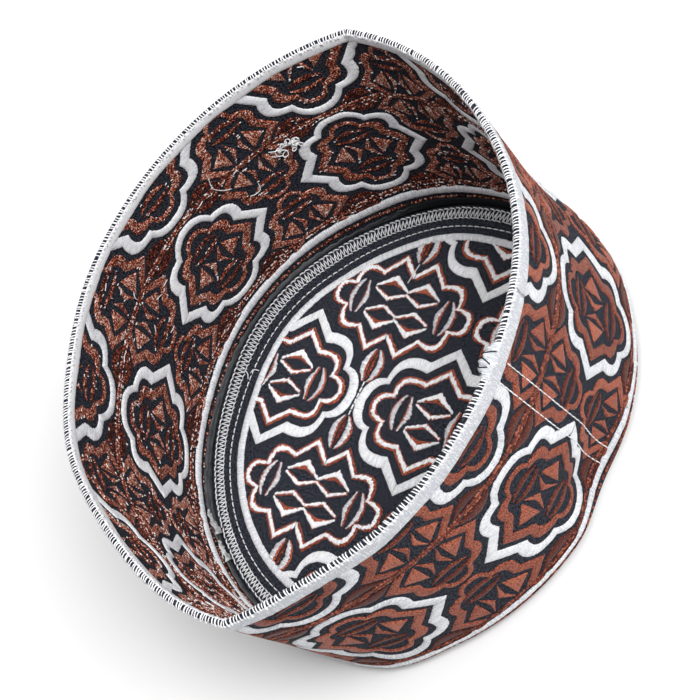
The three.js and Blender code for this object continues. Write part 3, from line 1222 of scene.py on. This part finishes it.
def wall_embroidery():
    """The wall's figures and bands on both faces. A bar has three sections, a figure's ribbon more."""
    made = wall_ribbons()
    small = [p for p in made if len(p.outer) <= 3]
    large = [p for p in made if len(p.outer) > 3]
    foot_line = ring_ribbon(*FOOT_LINE, "white", RISE + FOOT_LINE_OVER)
    last_dots = dots(LAST_DOT_ROW, LAST_DOT_SIZE)
    pieces = []
    # The outer face takes the white satin painted darker, and the inner face takes the one painted lighter
    for side, satin, rust in ((OUTSIDE, WHITE_PAINTED_DARKER, RUST_OUTSIDE), (INSIDE, WHITE_PAINTED_LIGHTER, RUST_INSIDE)):
        top = side.binding_foot + LAST_SECTION
        shown = wall_part(large, side.pulls, top)
        bars = wall_part(small, side.pulls, top)
        figures, bands = figures_on(side), bands_on(side)
        white = [(of_colour(shown, "white"), figures, SECTION), ([foot_line], bands, SECTION)]
        coloured = [(of_colour(shown, "rust"), figures, SECTION), (bars + last_dots, bands, SMALL_SECTION)]
        pieces.append(embroidery(f"wall_{side.name}_white", white, satin, "white_thread"))
        pieces.append(embroidery(f"wall_{side.name}_rust", coloured, rust, "rust_thread"))
    return pieces


def thinned(piece):
    """Every second section of a ribbon, for the face that lies on the floor."""
    if len(piece.outer) < 8:
        return piece
    keep = np.append(np.arange(0, len(piece.outer) - 1, 2), len(piece.outer) - 1)
    return changed(piece, lambda rail: rail[keep])


def crown_embroidery():
    shown = crown_part(crown_ribbons())
    ring = ring_ribbon(*CROWN_RING, "white", RISE + CROWN_RING_OVER)
    pieces = []
    for side, height in (("inside", upper_face), ("outside", under_face)):
        if side == "outside":
            shown = [thinned(p) for p in shown]
        chart = chart_on(height)
        white = [(of_colour(shown, "white"), chart, SECTION), ([ring], rings_on(height), SECTION)]
        lines = [(of_colour(shown, "lined"), chart, LINE_SECTION)]
        coloured = [(of_colour(shown, "rust"), chart, SECTION)]
        pieces.append(embroidery(f"crown_{side}_white", white, WHITE_SATIN, "white_thread"))
        pieces.append(embroidery(f"crown_{side}_lines", lines, WHITE_THREAD, "white_thread", RAGGED))
        pieces.append(embroidery(f"crown_{side}_rust", coloured, RUST_CROWN, "rust_thread"))
    return pieces


# The binding's section from its back to its edge, which is mirrored, and its underside
BINDING_HALF = [
    # place across the rim, height over its section
    (0.0, 0.0), (0.15, 0.0), (0.3, 0.0), (0.5, 0.05), (0.75, 0.08), (0.93, 0.05),
    (0.99, -0.10), (1.00, -0.55),
]
BINDING_UNDER = -0.6
BINDING_SECTION = [
    *[(-place, lift) for place, lift in BINDING_HALF[:0:-1]],
    *BINDING_HALF,
    *[(place, BINDING_UNDER) for place in (0.6, 0.3, 0.0, -0.3, -0.6)],
]
BINDING_STEP = 1.2
# The binding is one thread all round: its inner half is painted lighter as painted light in the shade of
# the opening, and the rest is painted darker as painted shade against the strong light on its back
BINDING_PAINTED_SHADE = -0.25
BINDING_PAINTED_LIGHT_INSIDE = 0.45


def rim_binding():
    """Satin wound over the rim, a little lumpy, with edges that wander."""
    length = even_lengths(BINDING_STEP)
    place, height = np.array(BINDING_SECTION).T
    wander = 0.25 * np.sin(length * 0.21) + 0.2 * np.sin(length * 0.067 + 2)
    wander = wander + rng.normal(0, 0.06, len(length))
    lumps = rng.normal(0, 0.035, (len(length), len(place)))
    reach = np.where(place > 0, RIM_OUTSIDE, RIM_INSIDE)
    across = place * (reach + wander[:, None])
    out = height + np.where(height > -0.3, lumps, 0)
    # Painted light on the binding's inner half and painted shade on the rest, over the white satin that is
    # already painted darker
    tone = np.where(across < 0, BINDING_PAINTED_LIGHT_INSIDE, BINDING_PAINTED_SHADE)
    builder = Builder()
    builder.add_grid(over_rim(length[:, None], across, out), on_grid(length[:, None], across), tone)
    return builder.piece("rim_binding", WHITE_PAINTED_DARKER, "white_thread", "rim_overlock")


EDGE_HALF = 1.0
EDGE_RISE = 0.16
EDGE_RAGGED = 0.05


def rim_dark_edge():
    """The dark line on the binding's back."""
    builder = Builder()
    band = ring_ribbon(-EDGE_HALF, EDGE_HALF, "navy", EDGE_RISE, BINDING_STEP)
    lay(builder, [band], over_rim, EDGE_RAGGED, ROUND_SECTION)
    return builder.piece("rim_dark_edge", NAVY_THREAD, "navy_cloth")


LOOP_STEP = 1.12
LOOP_WIDTH = 0.66
LOOP_LEFT_OUT = 0.015
LOOP_LEAN = 0.25
LOOP_RAGGED = 0.03


def rim_loops():
    """White loops across the dark edge."""
    loops = []
    count = round(GIRTH / LOOP_STEP)
    for k in range(count):
        if rng.random() < LOOP_LEFT_OUT:
            continue
        place = k * GIRTH / count + rng.uniform(-0.28, 0.28)
        lean = LOOP_LEAN + rng.uniform(-0.35, 0.35)
        low = -EDGE_HALF - 0.6 + rng.uniform(-0.6, 0.5)
        high = EDGE_HALF + 0.7 + rng.uniform(-0.6, 0.5)
        half = LOOP_WIDTH / 2 * rng.uniform(0.75, 1.25)
        rails = [[(side - lean, low), None, (side + lean, high)] for side in (place - half, place + half)]
        loops.append(ribbon(*rails, "white", step=0.9))
    builder = Builder()
    lay(builder, loops, over_rim, LOOP_RAGGED, SMALL_SECTION)
    return builder.piece("rim_loops", WHITE_THREAD, "white_thread", flip=True)


def stitch(builder, start, end, face, radius, lift):
    """One stitch between two places of a face, with its ends in the cloth."""
    share = np.array([0.0, 0.12, 0.5, 0.88, 1.0])[:, None]
    along, up = (start + (end - start) * share).T
    out = np.array([-0.1, lift, lift + 0.12, lift, -0.1])
    tube(builder, face(along, up, out), radius, sides=6, tone=rng.uniform(-0.2, 0.2))


SEAM_LINES = [
    # start along and up, end along and up
    (549.7, 91.5, 552.4, 45.0),
    (552.4, 45.0, 555.7, 7.5),
    (556.1, 91.8, 559.0, 44.0),
    (559.0, 44.0, 561.4, 8.5),
]
SEAM_STITCH = 2.7
SEAM_GAP = 0.45


def seam_stitches():
    """Lines of running stitch where the wall's ends join, on both faces."""
    builder = Builder()
    part = SEAM_STITCH + SEAM_GAP
    for *start, end_x, end_y in SEAM_LINES:
        start, line = np.array(start), np.array([end_x, end_y]) - start
        count = max(1, round(np.linalg.norm(line) / part))
        for face in (wall_outside, wall_inside):
            for k in range(count):
                ends = [start + line * share / count for share in (k, k + SEAM_STITCH / part)]
                stitch(builder, *ends, face, 0.2, RISE)
    return builder.piece("seam_stitches", WHITE_THREAD, "white_thread")


DASH_STEP = 3.35
DASH_SHARE = 0.72


def crown_stitches():
    builder = Builder()
    count = round(GIRTH / DASH_STEP)
    for k in range(count):
        place = k * GIRTH / count
        inset = CROWN_DASHES + 0.15 * math.sin(k * 0.21)
        ends = [np.array([place + share * GIRTH / count, inset]) for share in (0, DASH_SHARE)]
        stitch(builder, *ends, seam_ring, 0.22, 0.3)
    return builder.piece("crown_dashes", WHITE_THREAD, "white_thread")


ZIGZAG_STEP = 1.85
EDGE_STITCH = 2.7


def zigzag():
    """The seam's overlock: V stitches between two edges of short slanting stitches."""
    builder = Builder()
    count = round(GIRTH / ZIGZAG_STEP)
    step = GIRTH / count
    low, high = CROWN_ZIGZAG
    path = []
    for k in range(count):
        place = k * step + rng.uniform(-0.12, 0.12)
        near = low + rng.uniform(-0.2, 0.2)
        far = high + rng.uniform(-0.4, 0.3)
        lean = rng.uniform(-0.2, 0.2)
        path += [
            (place, near, 0.15), (place + step * 0.22, near * 0.55 + far * 0.45, 0.45),
            (place + step * 0.5 + lean, far, 0.25), (place + step * 0.78, near * 0.45 + far * 0.55, 0.55),
        ]
    tube(builder, seam_ring(*np.array(path).T), 0.25, closed=True)
    count = round(GIRTH / EDGE_STITCH)
    for k in range(count):
        for inset, slant, radius in ((CROWN_STITCH_LINE, 0.45, 0.27), (high, 0.3, 0.2)):
            place = k * GIRTH / count + rng.uniform(-0.2, 0.2)
            along = place + EDGE_STITCH * np.array([0.0, 0.3, 0.65, 0.93])
            across = inset + slant * np.array([1.0, 0.4, -0.1, -0.3]) + rng.uniform(-0.12, 0.12)
            tube(builder, seam_ring(along, across, np.array([0.1, 0.5, 0.5, 0.15])), radius)
    return builder.piece("seam_zigzag", WHITE_THREAD, "white_thread", "seam_overlock")


# Thread ends and jumps that lie on the crown
CROWN_JUMPS = [
    # x and y of each place on the crown
    [(-8.5, 56.0), (-6.3, 60.5), (-4.5, 64.0)],
    [(-11.5, 41.5), (-12.5, 40.0)],
    [(-78.0, 21.0), (-76.5, 20.8), (-75.5, 19.5), (-75.0, 17.5)],
    [(-74.5, 20.0), (-73.5, 21.5), (-72.0, 21.4), (-70.5, 21.0)],
]
JUMP_OFF = 0.75
JUMP_RADIUS = 0.2


def crown_threads():
    builder = Builder()
    for places in CROWN_JUMPS:
        tube(builder, np.insert(np.array(places), 2, CROWN_TOP + JUMP_OFF, axis=1), JUMP_RADIUS)
    return builder.piece("crown_threads", WHITE_THREAD, "white_thread")


def subdivided(places, parts):
    """A line of places with each of its stretches in a number of parts."""
    corners = np.array(places, float)
    share = np.linspace(0, len(corners) - 1, (len(corners) - 1) * parts + 1)
    return np.stack([np.interp(share, range(len(corners)), column) for column in corners.T])


def wall_thread(builder, places, radius):
    """A loose thread through places along, up and off the inner wall."""
    kernel = np.array([1, 2, 3, 2, 1]) / 9
    smooth = [np.convolve(np.pad(v, 2, mode="edge"), kernel, mode="valid") for v in subdivided(places, 5)]
    tube(builder, wall_inside(*smooth), radius, tone=rng.uniform(-0.2, 0.2))


def curls(start, end, turns, size, off):
    """A curly thread: loops of about one size whose middle moves from start to end and sways."""
    share = np.linspace(0, 1, turns * 5)
    turn = 2 * np.pi * turns * share + rng.uniform(0, 6)
    radius = size * (0.75 + 0.35 * np.sin(turn * 0.37 + rng.uniform(0, 6)))
    sway = size * 0.9 * np.sin(turn * 0.23 + rng.uniform(0, 6))
    along = start[0] + (end[0] - start[0]) * share + radius * np.cos(turn)
    up = start[1] + (end[1] - start[1]) * share + radius * np.sin(turn) * 0.8 + sway
    return np.stack([along, up, 0.5 + off * (0.5 + 0.5 * np.sin(turn * 0.61))], -1)


WALL_ENDS = [
    # a loose thread's places: along, up and off the wall
    [(192.5, 65.2, 0.5), (191.0, 64.4, 1.0), (189.4, 63.6, 1.2), (188.0, 63.2, 0.6)],
    [(192.6, 62.4, 0.5), (191.2, 61.2, 0.9), (189.8, 60.2, 0.5)],
    [(203.0, 56.0, 0.4), (204.0, 53.0, 1.2), (207.0, 53.5, 1.6), (209.0, 54.0, 0.8)],
    [(212.0, 63.0, 0.4), (215.0, 66.0, 1.1), (218.0, 71.0, 1.3), (216.0, 76.0, 0.6)],
    [(255.3, 61.4, 0.5), (257.0, 61.9, 0.8), (258.7, 61.4, 0.5)],
    [(261.3, 60.4, 0.5), (263.0, 61.5, 0.8), (264.7, 62.0, 0.5)],
    [(268.0, 75.0, 0.5), (269.4, 74.2, 1.0), (269.8, 72.8, 0.9), (269.4, 71.6, 0.5)],
    [(273.0, 57.5, 0.5), (274.4, 56.6, 0.9), (275.5, 55.0, 0.5)],
    [(272.0, 90.5, 0.5), (273.4, 90.2, 0.8), (275.0, 89.4, 0.5)],
    [(268.0, 46.5, 0.5), (269.8, 46.9, 0.8), (271.6, 47.0, 0.5)],
]
TANGLE = [
    # start and end of a curly thread, its turns, their size, how far it stands off
    ((189.3, 62.2), (186.8, 61.2), 4, 1.7, 1.4),
    ((187.2, 64.2), (184.6, 64.0), 6, 0.9, 1.2),
    ((184.4, 63.6), (179.6, 61.2), 9, 1.3, 1.5),
    ((180.0, 63.0), (183.5, 61.0), 7, 1.1, 1.7),
]
SEAM_CURL = ((352.0, 7.0), (356.5, 6.5), 3, 1.6, 1.8)
TANGLE_RADIUS = 0.23
SEAM_CURL_RADIUS = 0.24
END_RADIUS = 0.17


def loose_threads():
    builder = Builder()
    for start, end, turns, size, off in TANGLE:
        wall_thread(builder, curls(start, end, turns, size, off), TANGLE_RADIUS)
    wall_thread(builder, curls(*SEAM_CURL), SEAM_CURL_RADIUS)
    for places in WALL_ENDS:
        wall_thread(builder, places, END_RADIUS)
    return builder.piece("loose_threads", WHITE_THREAD, "white_thread")


FLECKS = 2300
FLECKS_TOP = BINDING_FOOT + 1
LONG_FLECKS = 0.03
CROSSED_FLECKS = 0.3
FLECK_HALF_WIDTH = 0.18
FLECK_TONE = 0.3


def inside_flecks():
    """Short white under-threads that show between the rust stitches of the inner face."""
    rust = of_colour(wall_part(wall_ribbons(), PULL_INSIDE, FLECKS_TOP), "rust")
    rust = [p for p in rust if len(p.outer) < GIRTH / 2]
    weights = np.array([len(p.outer) for p in rust], float)
    builder = Builder()
    for number in rng.choice(len(rust), FLECKS, p=weights / weights.sum()):
        piece = rust[number]
        k = rng.integers(0, len(piece.outer))
        share = rng.uniform(0.0, 1.0)
        place = piece.outer[k] * (1 - share) + piece.inner[k] * share
        angle = rng.uniform(-0.5, 0.5) + (math.pi / 2 if rng.random() < CROSSED_FLECKS else 0)
        half = rng.uniform(0.8, 1.4) if rng.random() < LONG_FLECKS else rng.uniform(0.22, 0.62)
        along = np.array([math.cos(angle), math.sin(angle)]) * half
        side = np.array([-along[1], along[0]]) / half * FLECK_HALF_WIDTH
        rails = [[place - along + edge, None, place + along + edge] for edge in (side, -side)]
        lay_fleck(builder, ribbon(*rails, step=1.0))
    return builder.piece("inside_flecks", WHITE_THREAD, "white_thread")


def lay_fleck(builder, piece):
    flat = np.stack([piece.outer, middle_line(piece), piece.inner], 1)
    out = np.broadcast_to([0.3, RISE + 0.14, 0.3], flat.shape[:2])
    builder.add_grid(figures_on(INSIDE)(flat[..., 0], flat[..., 1], out), flat, FLECK_TONE, ring=False)


KNOT_PLACE = 0.957 * GIRTH
KNOT_HALF = 6.5
KNOT_RISE = 2.6
KNOT_MIDDLE = -1.7
KNOT_REACH = 4.4
KNOT_UNDER = 0.5
KNOT_MARKS = [
    # dark stitches on the lump: places along and across the rim, from its middle
    [(3.4, -1.9), (1.4, -0.9), (2.6, 0.7)],
    [(1.4, -0.9), (-0.2, -0.7), (-1.0, -2.0)],
    [(-0.2, -0.7), (-1.8, 0.5)],
    [(-2.2, -2.1), (-3.2, -0.9), (-2.8, 0.3)],
    [(-4.6, -1.8), (-5.0, -0.4)],
]


def knot_lift(along, across):
    """Height of the lump over the rim's section."""
    lengthwise = np.cos(np.clip(along / KNOT_HALF, -1, 1) * math.pi / 2)
    sideways = np.cos(np.clip((across - KNOT_MIDDLE) / KNOT_REACH, -1, 1) * math.pi / 2)
    wrinkle = 0.3 * np.sin(along * 2.6 + across * 1.4) + 0.25 * np.sin(along * 1.1 - across * 3.1)
    return (lengthwise * sideways) ** 0.8 * (KNOT_RISE + wrinkle)


def rim_knot():
    """The binding's two ends, sewn over each other in a lump that leans into the opening."""
    along = np.linspace(-KNOT_HALF, KNOT_HALF, 36)[:, None]
    across = np.linspace(KNOT_MIDDLE - KNOT_REACH, KNOT_MIDDLE + KNOT_REACH, 28)[None, :]
    lift = knot_lift(along, across) - 0.1
    both = np.concatenate([across, across[:, ::-1]], 1)
    out = np.concatenate([lift, np.full(lift.shape, -KNOT_UNDER)], 1)
    builder = Builder()
    grid = over_rim(KNOT_PLACE + along, both, out)
    # The lump takes the binding's painted shade, over the white satin painted darker
    builder.add_grid(grid, on_grid(along, both), BINDING_PAINTED_SHADE, ring=False)
    return builder.piece("rim_knot", WHITE_PAINTED_DARKER, "white_thread", flip=True)


def rim_knot_marks():
    builder = Builder()
    for places in KNOT_MARKS:
        along, across = subdivided(places, 6)
        lift = knot_lift(along, across) + 0.05
        tube(builder, over_rim(KNOT_PLACE + along, across, lift), 0.22)
    return builder.piece("rim_knot_marks", NAVY_THREAD, "navy_cloth")


# Camera, floor and light


def make_camera():
    camera = in_scene("camera", bpy.data.cameras.new("camera"))
    camera.data.lens = CAMERA_LENS
    camera.data.sensor_width = CAMERA_SENSOR
    camera.data.clip_start = 0.01
    camera.data.clip_end = 20
    ahead = (CAMERA_AIM - CAMERA_PLACE).normalized()
    level = ahead.cross(Vector((0, 0, 1))).normalized()
    upright = level.cross(ahead)
    up = upright * math.cos(CAMERA_ROLL) + level * math.sin(CAMERA_ROLL)
    right = ahead.cross(up)
    turn = Matrix((right, up, -ahead)).transposed()
    camera.matrix_world = Matrix.Translation(CAMERA_PLACE) @ turn.to_4x4()
    bpy.context.scene.camera = camera


FLOOR_REACH = 4.0


def make_floor():
    mesh = bpy.data.meshes.new("floor")
    corners = [(x * FLOOR_REACH, y * FLOOR_REACH, 0) for x, y in ((-1, -1), (1, -1), (1, 1), (-1, 1))]
    mesh.from_pydata(corners, [], [(0, 1, 2, 3)])
    floor = in_scene("floor", mesh)
    floor.data.materials.append(floor_material())


LIGHTS = [
    # name, place, size, watts
    ("key", (0.92, -0.02, 1.20), 0.8, 22.0),
    ("top", (0.00, 0.10, 1.50), 1.0, 12.5),
]
SKY = 0.35


def make_lights():
    world = bpy.data.worlds.new("studio")
    bpy.context.scene.world = world
    world.use_nodes = True
    background = world.node_tree.nodes.get("Background")
    background.inputs["Color"].default_value = (1.0, 1.0, 1.0, 1.0)
    background.inputs["Strength"].default_value = SKY
    for name, place, size, watts in LIGHTS:
        lamp = bpy.data.lights.new(name, "AREA")
        lamp.shape = "DISK"
        lamp.size = size
        lamp.energy = watts
        thing = in_scene(name, lamp)
        thing.location = place
        thing.rotation_mode = "QUATERNION"
        thing.rotation_quaternion = (-Vector(place)).to_track_quat("-Z", "Y")
    bpy.context.scene.view_settings.view_transform = "Standard"


make_camera()
make_floor()
make_lights()

wall = wall_cloth()
crown = crown_cloth()
allowance = allowance_cloth()
on_wall = wall_embroidery()
on_crown = crown_embroidery()
on_rim = [rim_binding(), rim_dark_edge(), rim_loops(), rim_knot(), rim_knot_marks()]
seam_line = seam_stitches()
dashes = crown_stitches()
overlock = zigzag()
loose = loose_threads()
flecks = inside_flecks()
ends = pale_ends()
jumps = crown_threads()
